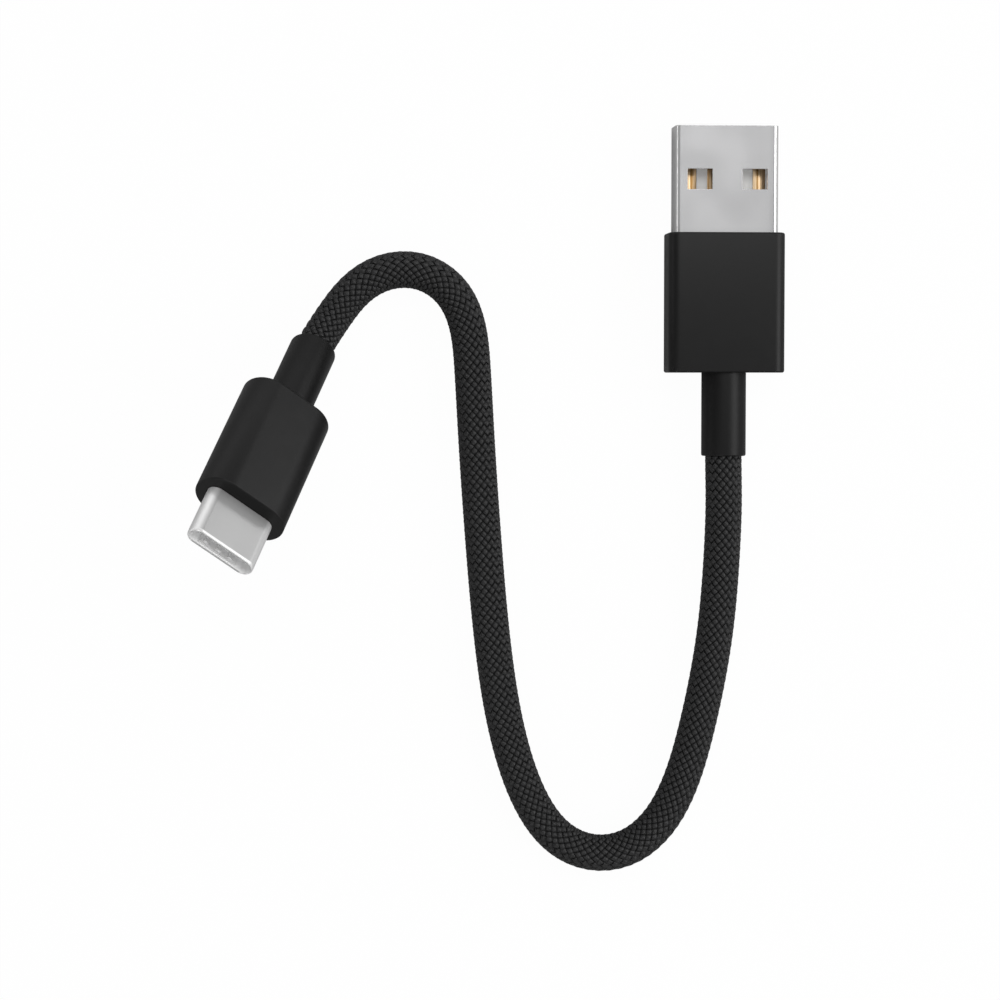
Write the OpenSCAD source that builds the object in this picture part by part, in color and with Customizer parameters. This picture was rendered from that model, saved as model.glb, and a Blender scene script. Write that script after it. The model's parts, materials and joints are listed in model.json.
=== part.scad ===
// Short braided charging cable: a rectangular type A plug at one end, a slim oval type C plug at the other.
// The cable lies on the plane z = 0. The origin is the centre of the type A housing's underside,
// +Y points out of the type A plug's mouth and +Z is up. All sizes are in millimetres.
// Each plug is drawn in a frame of its own: its housing's front face lies at y = 0, with the shell
// along +Y and the cord along -Y.

/* [Type A plug] */
// Width of the steel shell
a_shell_w = 12; // [11.8:0.05:12.1]
// Thickness of the steel shell
a_shell_t = 4.5; // [4.4:0.05:4.6]
// Sheet thickness of the shell
a_shell_wall = 0.3; // [0.2:0.05:0.35]
// Corner radius of the shell
a_shell_r = 0.65; // [0.4:0.05:0.8]
// Length of the shell that shows
a_shell_out = 12.3; // [11.5:0.1:13]
// Length of the shell inside the housing
a_shell_in = 6.2; // [5:0.1:7]
// Width of a window in the shell
a_window_w = 2.9; // [2:0.1:3.1]
// Length of a window in the shell
a_window_l = 2.35; // [1.8:0.05:2.8]
// Distance of a window's centre from the plug's middle
a_window_x = 3.2; // [2.8:0.1:3.6]
// Distance from the mouth to a window's near edge
a_window_y = 5; // [4.5:0.1:5.6]
// Width of the open joint where the shell's sheet meets underneath
a_seam = 0.1; // [0.05:0.05:0.2]
// Distance of the contact carrier's tongue behind the mouth
a_tongue_back = 0.5; // [0.3:0.1:1]
// Depth of the mouth in front of the carrier's block
a_mouth_d = 9.2; // [8.8:0.1:10]
// Width of a contact
a_contact_w = 1.45; // [0.9:0.05:1.6]
// Thickness of a contact
a_contact_t = 0.3; // [0.2:0.05:0.4]
// Distance of the power and ground contacts from the middle
a_outer_x = 4.03; // [3.9:0.01:4.1]
// Distance of the data contacts from the middle
a_inner_x = 1.3; // [1:0.05:1.5]
// Height of the contacts' upper side above the plug's middle plane
a_contact_z = 0.05; // [0.03:0.01:0.1]
// How far behind the tongue's tip the power contacts start
a_power_start = 0.8; // [0.5:0.1:1.2]
// How much further back the data contacts start
a_data_step = 1; // [0.8:0.1:1.4]
// Length of a contact's solder tail
a_tail_l = 2; // [1.5:0.1:2.2]
// Width of a contact's solder tail
a_tail_w = 0.9; // [0.7:0.05:0.9]
// Width of the housing
a_body_w = 13.6; // [13.3:0.1:15]
// Thickness of the housing
a_body_t = 6.2; // [6:0.1:7.5]
// Length of the housing
a_body_l = 16.2; // [15.8:0.1:19]
// Corner radius of the housing
a_body_r = 1.35; // [0.8:0.05:1.6]
// Length of the strain relief that shows
a_relief_l = 9.7; // [8:0.1:12]
// Wall of the strain relief
a_relief_wall = 0.45; // [0.4:0.05:0.5]

/* [Type C plug] */
// Width of the steel shell
c_shell_w = 8.25; // [8.2:0.01:8.3]
// Thickness of the steel shell
c_shell_t = 2.4; // [2.38:0.01:2.45]
// Wall of the shell
c_shell_wall = 0.2; // [0.15:0.05:0.2]
// Length of the shell that shows
c_shell_out = 6.3; // [6.1:0.1:6.7]
// Length of the shell inside the housing
c_shell_in = 4; // [3.7:0.1:4.4]
// Distance of the contact housing behind the mouth
c_mouth_back = 1.6; // [1.4:0.05:1.8]
// Width of the slot that takes the socket's tongue
c_slot_w = 6.7; // [6.6:0.02:6.72]
// Height of the slot
c_slot_t = 0.84; // [0.8:0.02:0.9]
// Depth of the slot
c_slot_d = 3.9; // [3.6:0.1:4.1]
// Distance of the contacts' tips behind the contact housing's front
c_contact_back = 0.4; // [0.3:0.05:0.6]
// Length of a contact's solder tail on the board
c_tail_l = 1.6; // [1.2:0.1:1.8]
// Spacing of the contact positions
c_pitch = 0.5; // [0.48:0.01:0.52]
// Width of a contact
c_contact_w = 0.25; // [0.2:0.01:0.3]
// Thickness of a contact
c_contact_t = 0.12; // [0.1:0.01:0.15]
// Thickness of the latch plate
c_latch_t = 0.2; // [0.15:0.01:0.24]
// Width of a latch arm
c_arm_w = 0.2; // [0.15:0.01:0.2]
// Length of a latch arm beside the slot
c_arm_l = 2.8; // [2.5:0.1:3]
// Size of a latch hook across the plug, and along it
c_hook = [0.15, 0.5]; // [0.1:0.05:0.6]
// Width of a ground spring plate in the mouth
c_spring_w = 4.8; // [4:0.1:5.4]
// Thickness of a ground spring plate
c_spring_t = 0.1; // [0.08:0.01:0.12]
// Width, length and thickness of a ground spring's finger
c_finger = [0.6, 0.6, 0.12]; // [0.1:0.01:0.7]
// Width of the circuit board
c_board_w = 6.6; // [6:0.1:6.8]
// Length of the circuit board
c_board_l = 5.3; // [5:0.1:5.6]
// Thickness of the circuit board
c_board_t = 0.8; // [0.7:0.02:0.8]
// Length, width and thickness of the resistor
c_resistor = [1, 0.5, 0.35]; // [0.3:0.05:1.2]
// Distance of the resistor's centre from the board's middle
c_resistor_x = 2.2; // [2:0.1:2.6]
// Distance of the power wires from the board's middle
c_power_x = 1.7; // [1.6:0.1:1.9]
// Width of the housing
c_body_w = 10.8; // [10.6:0.1:12]
// Thickness of the housing
c_body_t = 6.3; // [6.2:0.1:7]
// Length of the housing
c_body_l = 15.8; // [15.4:0.1:18]
// Wall of the housing over the rear can
c_body_wall = 1; // [0.9:0.05:1.05]
// How much wider than the shell the rear can is at each side
c_can_side = 0.275; // [0.25:0.005:0.35]
// Length of the strain relief that shows
c_relief_l = 9.4; // [8:0.1:12]
// Wall of the strain relief
c_relief_wall = 0.55; // [0.45:0.05:0.6]
// Height of the strain relief's end above where it would lie on the surface
c_end_lift = 3.25; // [2.5:0.05:4]
// Angle at which the plug rises from the surface, in degrees
c_rise = 40.5; // [20:0.5:50]
// Roll of the plug about its own axis, in degrees
c_roll = 16.5; // [0:0.5:30]
// Direction in which the plug points, in degrees from +X
c_heading = -114.7; // [-125:0.1:-100]

/* [Inside both plugs] */
// Thickness of a housing's end wall
end_wall = 1.2; // [1:0.1:1.4]
// Thickness of the strain relief's holding plate
lug_t = 1.1; // [0.8:0.1:1.3]
// Distance of the holding plate's ends from the pocket's sides
lug_side = 1.5; // [1.2:0.1:1.7]
// Length of the crimp collar
collar_l = 1.3; // [1:0.1:1.5]
// Wall of the crimp collar
collar_wall = 0.33; // [0.25:0.01:0.35]
// Sheet thickness of the rear can
can_wall = 0.2; // [0.15:0.01:0.25]
// Length of a wire's bare end in the type C plug
bare_l = 2; // [1.5:0.1:2.4]

/* [Cord] */
// Diameter over the braid
cord_d = 4.3; // [4.3:0.05:4.5]
// Thickness of the braid
braid_t = 0.3; // [0.25:0.01:0.3]
// Thickness of the jacket
jacket_t = 0.45; // [0.35:0.01:0.45]
// Thickness of the foil and wire shield
shield_t = 0.12; // [0.1:0.01:0.12]
// Diameter of a power wire over its insulation
power_d = 1.1; // [0.9:0.05:1.1]
// Diameter of a power wire's copper
power_core_d = 0.6; // [0.5:0.05:0.65]
// Diameter of a data wire over its insulation
data_d = 0.8; // [0.7:0.05:0.8]
// Diameter of a data wire's copper
data_core_d = 0.36; // [0.3:0.02:0.4]

/* [Hidden] */
$fn = 64;

fit = 0.02;        // clearance between pieces that seat in each other
step_gap = 0.1;    // clearance between pieces that follow each other along a plug
layer_gap = 0.01;  // clearance between the cord's layers
over = 1;          // how far a cutting body runs past the face that it opens

plastic = [0.13, 0.13, 0.14];
steel = [0.74, 0.75, 0.76];
gold = [0.83, 0.66, 0.36];
ivory = [0.93, 0.93, 0.9];
copper = [0.72, 0.45, 0.3];

// Radii of the cord's layers, from the outside in
cord_r = cord_d / 2;
jacket_r = cord_r - braid_t;
shield_r = jacket_r - jacket_t;
bore_r = shield_r - shield_t;

// Stations along the type A plug, inwards from the front face
a_relief_r = cord_r + a_relief_wall;
a_wall_y = -(a_body_l - end_wall);
a_relief_y = a_wall_y + lug_t;
a_collar_y = a_relief_y + step_gap;
a_can_y = a_collar_y + collar_l + step_gap;
a_can_front = -(a_shell_in + step_gap);
a_tongue_end = a_shell_out - a_tongue_back;
a_block_y = a_shell_out - a_mouth_d;
a_in_w = a_shell_w - 2 * a_shell_wall;
a_in_t = a_shell_t - 2 * a_shell_wall;
a_in_r = max(a_shell_r - a_shell_wall, 0.1);
a_tail_y = -(a_shell_in + a_tail_l);
a_strip_y = a_tail_y - 0.4;        // where the wires' insulation ends, just behind the solder tails
a_core_y = -(a_shell_in + 0.5);    // where the wires' copper ends, over the solder tails

// Stations along the type C plug
c_relief_r = cord_r + c_relief_wall;
c_wall_y = -(c_body_l - end_wall);
c_relief_y = c_wall_y + lug_t;
c_collar_y = c_relief_y + step_gap;
c_can_y = c_collar_y + collar_l + step_gap;
c_can_front = -(c_shell_in + step_gap);
c_can_w = c_shell_w + 2 * c_can_side;
c_can_t = c_body_t - 2 * c_body_wall;
c_lug_t = c_can_t - 0.5;           // the holding plate clears the can's half-round sides
c_in_w = c_shell_w - 2 * c_shell_wall;
c_in_t = c_shell_t - 2 * c_shell_wall;
c_block_end = c_shell_out - c_mouth_back;
c_block_y = 1 - c_shell_in;        // the board's front end lies 1 mm inside the shell
c_slot_y = c_block_end - c_slot_d;
c_contact_end = c_block_end - c_contact_back;
c_board_y = c_block_y - step_gap;
c_tail_y = c_board_y - c_tail_l;
c_places = 12;                     // contact positions in a row
c_upper = [1, 4, 5, 6, 7, 9, 12];  // those that are filled in the upper row
c_lower = [1, 4, 9, 12];           // and in the lower row
c_latch_y = c_slot_y - 1.2;        // front edge of the latch's plate, behind the slot
c_strip_y = c_board_y - c_board_l - 0.2;
c_core_y = c_strip_y + bare_l;

// How far inside a rear can the shield and the wires of the cord end, and how long a wire takes to
// straighten before its insulation ends
shield_in = 0.4;
wires_in = 0.6;
spread_l = 0.5;

// Room that the inner moulds leave around the wires and beside the board
wire_room = 0.15;
board_room = 0.1;

cord_sides = 10;
wire_sides = 6;

// The type C plug's place: the end of its strain relief
c_end = [-47.8, -5.5, c_end_lift + cord_r];

// The cord's free route as [x, y, height above lying flat]. It leaves the type A plug level, sinks
// to the surface, runs down, round a bend and back up, round an arch, and rises into the type C plug.
route = [
    [0.1, -22.83, 0.75], [0.02, -28.35, 0.31], [-0.26, -33.61, 0.03], [-0.79, -38.8, 0],
    [-1.66, -44.2, 0], [-2.84, -49.71, 0], [-4.09, -54.3, 0], [-5.43, -57.78, 0], [-6.94, -60.42, 0],
    [-8.68, -62.39, 0], [-10.62, -63.74, 0], [-12.74, -64.45, 0], [-14.94, -64.52, 0],
    [-17.09, -63.95, 0], [-19.09, -62.75, 0], [-20.85, -60.93, 0], [-22.42, -58.41, 0],
    [-23.83, -55.11, 0], [-25.06, -50.98, 0], [-26.07, -46.11, 0], [-26.87, -40.53, 0],
    [-27.51, -34.37, 0], [-28.07, -27.5, 0], [-28.57, -20.46, 0], [-28.98, -13.62, 0],
    [-29.33, -7.41, 0], [-29.73, -3.59, 0], [-30.47, -0.94, 0], [-31.63, 1.09, 0], [-33.21, 2.57, 0],
    [-35.13, 3.51, 0], [-37.23, 3.82, 0], [-39.39, 3.5, 0.08], [-41.46, 2.55, 0.19],
    [-43.35, 0.97, 0.42], [-45.01, -1.11, 0.89], [-46.53, -3.36, 1.83]
];

// A point of the type A plug's own frame in the cable's frame
function from_a(p) = p + [0, a_body_l / 2, a_body_t / 2];

// A point of the type C plug's own frame in the cable's frame: rolled, raised, turned, then carried
function from_c(p) =
    let (q = p + [0, c_body_l + c_relief_l, 0],
         x = q.x * cos(c_roll) - q.z * sin(c_roll),
         z = q.x * sin(c_roll) + q.z * cos(c_roll),
         y = q.y * cos(c_rise) - z * sin(c_rise),
         up = q.y * sin(c_rise) + z * cos(c_rise),
         turn = c_heading - 90)
    c_end + [x * cos(turn) - y * sin(turn), x * sin(turn) + y * cos(turn), up];

// The cord's middle line between two stations inside the plugs
function cord_path(a_y, c_y) = concat(
    [from_a([0, a_y, 0]), from_a([0, -(a_body_l + a_relief_l), 0])],
    [for (p = route) [p.x, p.y, p.z + cord_r]],
    [c_end, from_c([0, c_y, 0])]);

function unit(v) = v / norm(v);
// Direction of a path at its point i: the mean of the stretches on both sides
function along(path, i) =
    let (n = len(path) - 1,
         back = i > 0 ? unit(path[i] - path[i - 1]) : [0, 0, 0],
         front = i < n ? unit(path[i + 1] - path[i]) : [0, 0, 0])
    unit(back + front);
function across(path, i) = unit(cross(along(path, i), [0, 0, 1]));
function above(path, i) = cross(across(path, i), along(path, i));
// A path that runs beside another one, side to the right of it and up above it
function beside(path, side, up) =
    [for (i = [0 : len(path) - 1]) path[i] + side * across(path, i) + up * above(path, i)];
function ring(path, i, r, sides) =
    [for (k = [0 : sides - 1]) let (a = 360 * k / sides - 90)
        path[i] + r * (cos(a) * across(path, i) + sin(a) * above(path, i))];
// The triangles of one swept surface whose points start at base; they face outwards when out is true
function skin(base, rings, sides, out) =
    [for (i = [0 : rings - 2], k = [0 : sides - 1], half = [0, 1])
        let (p = base + i * sides + k, q = base + i * sides + (k + 1) % sides,
             t = half == 0 ? [p, p + sides, q + sides] : [p, q + sides, q])
        out ? t : [t[2], t[1], t[0]]];

// A round bar along a path
module swept_bar(path, r, sides) {
    n = len(path);
    last = (n - 1) * sides;
    polyhedron([for (i = [0 : n - 1]) each ring(path, i, r, sides)],
        concat(skin(0, n, sides, true),
            [for (k = [1 : sides - 2]) [0, k, k + 1]],
            [for (k = [1 : sides - 2]) [last, last + k + 1, last + k]]));
}

// A round tube along a path
module swept_tube(path, r_out, r_in, sides) {
    n = len(path);
    inner = n * sides;
    last = (n - 1) * sides;
    polyhedron(
        concat([for (i = [0 : n - 1]) each ring(path, i, r_out, sides)],
            [for (i = [0 : n - 1]) each ring(path, i, r_in, sides)]),
        concat(skin(0, n, sides, true), skin(inner, n, sides, false),
            [for (k = [0 : sides - 1], half = [0, 1]) let (j = (k + 1) % sides)
                half == 0 ? [k, j, inner + j] : [k, inner + j, inner + k]],
            [for (k = [0 : sides - 1], half = [0, 1]) let (j = (k + 1) % sides)
                half == 0 ? [last + k, inner + last + j, last + j]
                          : [last + k, inner + last + k, inner + last + j]]));
}

// Outline of a rectangle with round corners
module round_rect(w, t, r) {
    square([w - 2 * r, t], center = true);
    square([w, t - 2 * r], center = true);
    for (x = [-1, 1], y = [-1, 1]) translate([x * (w / 2 - r), y * (t / 2 - r)]) circle(r);
}

// Outline of a slot with half-round ends
module oval(w, t) {
    square([w - t, t], center = true);
    for (x = [-1, 1]) translate([x * (w - t) / 2, 0]) circle(t / 2);
}

// Carries an outline in x and z along y, from y0 to y1
module along_y(y0, y1) {
    translate([0, y1, 0]) rotate([90, 0, 0]) linear_extrude(y1 - y0) children();
}

// A box given by its limits
module block(x0, x1, y0, y1, z0, z1) {
    translate([x0, y0, z0]) cube([x1 - x0, y1 - y0, z1 - z0]);
}

module rod(r, y0, y1) {
    along_y(y0, y1) circle(r);
}

module place_a() {
    translate([0, a_body_l / 2, a_body_t / 2]) children();
}

module place_c() {
    translate(c_end) rotate([0, 0, c_heading - 90]) rotate([c_rise, 0, 0]) rotate([0, -c_roll, 0])
        translate([0, c_body_l + c_relief_l, 0]) children();
}

// Strain relief: a tube with a plate inside the housing that holds it, in a pocket of width pocket_w
module strain_relief(r, end_y, inner_y, pocket_w, plate_t) {
    half_w = pocket_w / 2 - lug_side;
    difference() {
        union() {
            rod(r, end_y, inner_y);
            block(-half_w, half_w, inner_y - lug_t + fit, inner_y, -plate_t / 2, plate_t / 2);
        }
        rod(cord_r + fit, end_y - over, inner_y + over);
    }
}

module crimp_collar(y0) {
    difference() {
        rod(jacket_r + fit + collar_wall, y0, y0 + collar_l);
        rod(jacket_r + fit, y0 - over, y0 + collar_l + over);
    }
}

// Type A plug

module type_a_shell() {
    color(steel) place_a() difference() {
        along_y(-a_shell_in, a_shell_out) round_rect(a_shell_w, a_shell_t, a_shell_r);
        along_y(-a_shell_in - over, a_shell_out + over) round_rect(a_in_w, a_in_t, a_in_r);
        for (x = [-1, 1])
            translate([x * a_window_x, a_shell_out - a_window_y - a_window_l / 2, 0])
                cube([a_window_w, a_window_l, a_shell_t + over], center = true);
        block(-a_seam / 2, a_seam / 2, -a_shell_in - over, a_shell_out + over, -a_shell_t, 0);
    }
}

// One contact with its solder tail; more than zero grow widens it to the groove that holds it
module a_contact(x, start, grow = 0) {
    w = a_contact_w / 2 + grow;
    z0 = a_contact_z - a_contact_t - grow;
    block(x - w, x + w, -a_shell_in, a_tongue_end - start + grow, z0, a_contact_z);
    block(x - a_tail_w / 2 - grow, x + a_tail_w / 2 + grow, a_tail_y, -a_shell_in + fit, z0, a_contact_z);
}

module a_power_contact(side, grow = 0) {
    a_contact(side * a_outer_x, a_power_start, grow);
}

module a_data_contact(side, grow = 0) {
    a_contact(side * a_inner_x, a_power_start + a_data_step, grow);
}

module type_a_insulator() {
    half_w = a_in_w / 2 - fit;
    half_t = a_in_t / 2 - fit;
    groove_z = a_contact_z + fit;
    color(ivory) place_a() difference() {
        intersection() {
            union() {
                block(-half_w, half_w, a_block_y - fit, a_tongue_end, -half_t, 0);
                block(-half_w, half_w, -a_shell_in, a_block_y, -half_t, half_t);
            }
            along_y(-a_shell_in, a_tongue_end) round_rect(2 * half_w, 2 * half_t, a_in_r);
        }
        for (side = [-1, 1]) {
            a_power_contact(side, fit);
            a_data_contact(side, fit);
            for (x = [a_outer_x, a_inner_x])
                block(side * x - a_contact_w / 2 - fit, side * x + a_contact_w / 2 + fit,
                    -a_shell_in - over, a_block_y, 0, groove_z);
        }
    }
}

module type_a_contact_power() {
    color(gold) place_a() a_power_contact(-1);
}

module type_a_contact_data_minus() {
    color(gold) place_a() a_data_contact(-1);
}

module type_a_contact_data_plus() {
    color(gold) place_a() a_data_contact(1);
}

module type_a_contact_ground() {
    color(gold) place_a() a_power_contact(1);
}

module type_a_rear_can() {
    color(steel) place_a() difference() {
        along_y(a_can_y, a_can_front) round_rect(a_shell_w, a_shell_t, a_shell_r);
        along_y(a_can_y + can_wall, a_can_front + over)
            round_rect(a_shell_w - 2 * can_wall, a_shell_t - 2 * can_wall, a_in_r);
        rod(jacket_r + fit, a_can_y - over, a_can_y + over);
    }
}

module type_a_inner_mold() {
    gap = 2 * (can_wall + fit);
    half_w = a_outer_x + power_d / 2 + wire_room;
    half_t = bore_r + wire_room;
    color(ivory) place_a() difference() {
        along_y(a_can_y + can_wall + step_gap, a_can_front - step_gap)
            round_rect(a_shell_w - gap, a_shell_t - gap, a_in_r);
        block(-half_w, half_w, a_can_y, a_can_front + over, -half_t, half_t);
    }
}

module type_a_crimp_collar() {
    color("goldenrod") place_a() crimp_collar(a_collar_y);
}

module type_a_housing() {
    color(plastic) place_a() difference() {
        along_y(-a_body_l, 0) round_rect(a_body_w, a_body_t, a_body_r);
        along_y(a_wall_y, over) round_rect(a_shell_w + 2 * fit, a_shell_t + 2 * fit, a_shell_r);
        rod(a_relief_r + fit, -a_body_l - over, a_can_y);
    }
}

module type_a_strain_relief() {
    color(plastic) place_a()
        strain_relief(a_relief_r, -(a_body_l + a_relief_l), a_relief_y, a_shell_w, a_shell_t);
}

// Type C plug

module type_c_shell() {
    color(steel) place_c() difference() {
        along_y(-c_shell_in, c_shell_out) oval(c_shell_w, c_shell_t);
        along_y(-c_shell_in - over, c_shell_out + over) oval(c_in_w, c_in_t);
    }
}

// Contacts of one row; more than zero grow widens them to the grooves that hold them
module c_contacts(places, y1, grow = 0) {
    for (n = places)
        translate([((c_places + 1) / 2 - n) * c_pitch, 0, 0])
            block(-c_contact_w / 2 - grow, c_contact_w / 2 + grow, c_tail_y - grow, y1,
                c_slot_t / 2, c_slot_t / 2 + c_contact_t + grow);
}

// The latch: a plate behind the slot with an arm and a hook at each side of it
module c_latch(grow = 0) {
    half_t = c_latch_t / 2 + grow;
    inner_x = c_slot_w / 2 + step_gap / 2 - grow;
    outer_x = c_slot_w / 2 + step_gap / 2 + c_arm_w + grow;
    hook_x = inner_x - c_hook.x;
    end_y = c_slot_y + c_arm_l + grow;
    block(-outer_x, outer_x, c_block_y, c_latch_y + grow, -half_t, half_t);
    for (x = [0, 1]) mirror([x, 0, 0]) {
        block(inner_x, outer_x, c_block_y, end_y, -half_t, half_t);
        block(hook_x, outer_x, end_y - c_hook.y - 2 * grow, end_y, -half_t, half_t);
    }
}

module type_c_insulator() {
    color("gainsboro") place_c() difference() {
        along_y(c_block_y, c_block_end) oval(c_in_w - 2 * fit, c_in_t - 2 * fit);
        block(-c_slot_w / 2, c_slot_w / 2, c_slot_y, c_block_end + over, -c_slot_t / 2, c_slot_t / 2);
        c_contacts(c_upper, c_contact_end + fit, fit);
        mirror([0, 0, 1]) c_contacts(c_lower, c_contact_end + fit, fit);
        c_latch(fit);
    }
}

module type_c_contacts_upper() {
    color(gold) place_c() c_contacts(c_upper, c_contact_end);
}

module type_c_contacts_lower() {
    color(gold) place_c() mirror([0, 0, 1]) c_contacts(c_lower, c_contact_end);
}

module type_c_latch() {
    color(steel) place_c() c_latch();
}

// A ground spring: a plate against the shell's wall with three fingers
module c_ground_spring() {
    top = c_in_t / 2 - fit;
    y0 = c_block_end + step_gap / 2;
    y1 = c_shell_out - 3 * step_gap;
    finger_y = y0 + 2 * step_gap;
    block(-c_spring_w / 2, c_spring_w / 2, y0, y1, top - c_spring_t, top);
    for (x = [-1, 0, 1]) translate([x * c_spring_w / 3, 0, 0])
        block(-c_finger.x / 2, c_finger.x / 2, finger_y, finger_y + c_finger.y,
            top - c_spring_t - c_finger.z, top - fit);
}

module type_c_ground_spring_upper() {
    color(steel) place_c() c_ground_spring();
}

module type_c_ground_spring_lower() {
    color(steel) place_c() mirror([0, 0, 1]) c_ground_spring();
}

module type_c_board() {
    color("seagreen") place_c()
        block(-c_board_w / 2, c_board_w / 2, c_board_y - c_board_l, c_board_y, -c_board_t / 2, c_board_t / 2);
}

module type_c_resistor() {
    color("black") place_c()
        block(c_resistor_x - c_resistor.x / 2, c_resistor_x + c_resistor.x / 2,
            c_core_y - c_resistor.y, c_core_y, -c_board_t / 2 - c_resistor.z, -c_board_t / 2);
}

module type_c_rear_can() {
    color(steel) place_c() difference() {
        along_y(c_can_y, c_can_front) oval(c_can_w, c_can_t);
        along_y(c_can_y + can_wall, c_can_front + over) oval(c_can_w - 2 * can_wall, c_can_t - 2 * can_wall);
        rod(jacket_r + fit, c_can_y - over, c_can_y + over);
    }
}

module type_c_inner_mold() {
    gap = 2 * (can_wall + fit);
    half_w = c_board_w / 2 + board_room;
    half_t = bore_r + wire_room;
    color(ivory) place_c() difference() {
        along_y(c_can_y + can_wall + step_gap, c_can_front - step_gap) oval(c_can_w - gap, c_can_t - gap);
        block(-half_w, half_w, c_can_y, c_can_front + over, -half_t, half_t);
    }
}

module type_c_crimp_collar() {
    color("goldenrod") place_c() crimp_collar(c_collar_y);
}

module type_c_housing() {
    color(plastic) place_c() difference() {
        along_y(-c_body_l, 0) oval(c_body_w, c_body_t);
        along_y(-c_shell_in - over, over) oval(c_shell_w + 2 * fit, c_shell_t + 2 * fit);
        along_y(c_wall_y, -c_shell_in) oval(c_can_w + 2 * fit, c_can_t + 2 * fit);
        rod(c_relief_r + fit, -c_body_l - over, c_can_y);
    }
}

module type_c_strain_relief() {
    color(plastic) place_c()
        strain_relief(c_relief_r, -(c_body_l + c_relief_l), c_relief_y, c_can_w, c_lug_t);
}

// Cord

module cord_braid() {
    color(plastic) swept_tube(cord_path(a_relief_y, c_relief_y),
        cord_r, jacket_r + layer_gap, cord_sides);
}

module cord_jacket() {
    color("dimgray") swept_tube(cord_path(a_can_y + can_wall, c_can_y + can_wall),
        jacket_r, shield_r + layer_gap, cord_sides);
}

module cord_shield() {
    color(steel) swept_tube(cord_path(a_can_y + shield_in, c_can_y + shield_in),
        shield_r, bore_r, cord_sides);
}

// Middle line of a wire: side and up place it in the cord. In each plug it spreads to a place
// [x, z] of the plug's own frame and then runs straight, further by bare where its copper is stripped.
function wire_path(side, up, in_a, in_c, bare) = concat(
    [from_a([in_a.x, bare ? a_core_y : a_strip_y, in_a.y]), from_a([in_a.x, a_strip_y - spread_l, in_a.y])],
    beside(cord_path(a_can_y + wires_in, c_can_y + wires_in), side, up),
    [from_c([in_c.x, c_strip_y - spread_l, in_c.y]), from_c([in_c.x, bare ? c_core_y : c_strip_y, in_c.y])]);

module insulation(path, d, core_d) {
    swept_tube(path, d / 2, core_d / 2 + layer_gap, wire_sides);
}

module core(path, d) {
    swept_bar(path, d / 2, wire_sides);
}

// Where each wire lies in the cord, on the type A contacts and on the board
power_at = bore_r - power_d / 2 - step_gap;
data_at = bore_r - data_d / 2 - step_gap;
board_z = c_board_t / 2 + fit;
tail_z = a_contact_z + fit;

function power_wire(side, bare) = wire_path(side * power_at, 0,
    [-side * a_outer_x, tail_z + power_core_d / 2], [side * c_power_x, board_z + power_core_d / 2], bare);
function data_wire(side, bare) = wire_path(0, -side * data_at,
    [side * a_inner_x, tail_z + data_core_d / 2], [0, -side * (board_z + data_core_d / 2)], bare);

module wire_power() {
    color("firebrick") insulation(power_wire(1, false), power_d, power_core_d);
}

module wire_ground() {
    color([0.1, 0.1, 0.1]) insulation(power_wire(-1, false), power_d, power_core_d);
}

module wire_data_minus() {
    color("white") insulation(data_wire(-1, false), data_d, data_core_d);
}

module wire_data_plus() {
    color("green") insulation(data_wire(1, false), data_d, data_core_d);
}

module core_power() {
    color(copper) core(power_wire(1, true), power_core_d);
}

module core_ground() {
    color(copper) core(power_wire(-1, true), power_core_d);
}

module core_data_minus() {
    color(copper) core(data_wire(-1, true), data_core_d);
}

module core_data_plus() {
    color(copper) core(data_wire(1, true), data_core_d);
}

type_a_shell();
type_a_insulator();
type_a_contact_power();
type_a_contact_data_minus();
type_a_contact_data_plus();
type_a_contact_ground();
type_a_rear_can();
type_a_inner_mold();
type_a_crimp_collar();
type_a_housing();
type_a_strain_relief();
type_c_shell();
type_c_insulator();
type_c_contacts_upper();
type_c_contacts_lower();
type_c_latch();
type_c_ground_spring_upper();
type_c_ground_spring_lower();
type_c_board();
type_c_resistor();
type_c_rear_can();
type_c_inner_mold();
type_c_crimp_collar();
type_c_housing();
type_c_strain_relief();
cord_braid();
cord_jacket();
cord_shield();
wire_power();
wire_ground();
wire_data_minus();
wire_data_plus();
core_power();
core_ground();
core_data_minus();
core_data_plus();
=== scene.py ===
"""A short charging cable: a braided cord with a rectangular type A plug and an oval type C plug.

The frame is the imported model: metres, +Z up, the cable lying on z = 0. Sizes below are in millimetres,
and MM turns them into metres. Each plug is drawn in a frame of its own: the front face of its housing
lies at y = 0, with the shell along +Y and the cord along -Y.
"""
import json
from math import pi, radians

import bpy
import numpy as np
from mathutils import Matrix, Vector


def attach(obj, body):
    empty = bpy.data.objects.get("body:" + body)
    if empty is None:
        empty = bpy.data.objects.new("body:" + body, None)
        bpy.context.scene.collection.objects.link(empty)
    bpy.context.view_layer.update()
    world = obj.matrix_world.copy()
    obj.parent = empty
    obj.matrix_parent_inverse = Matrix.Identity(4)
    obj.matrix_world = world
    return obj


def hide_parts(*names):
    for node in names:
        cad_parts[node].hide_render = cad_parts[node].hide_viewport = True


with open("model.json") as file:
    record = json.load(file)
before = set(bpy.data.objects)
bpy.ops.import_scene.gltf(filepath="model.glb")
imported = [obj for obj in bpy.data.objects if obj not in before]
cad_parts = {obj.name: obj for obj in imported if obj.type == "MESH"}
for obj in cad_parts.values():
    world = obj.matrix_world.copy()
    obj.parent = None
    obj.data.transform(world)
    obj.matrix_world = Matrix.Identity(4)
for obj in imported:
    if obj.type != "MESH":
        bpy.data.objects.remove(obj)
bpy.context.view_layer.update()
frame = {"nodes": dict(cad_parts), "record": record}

MM = 0.001

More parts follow.
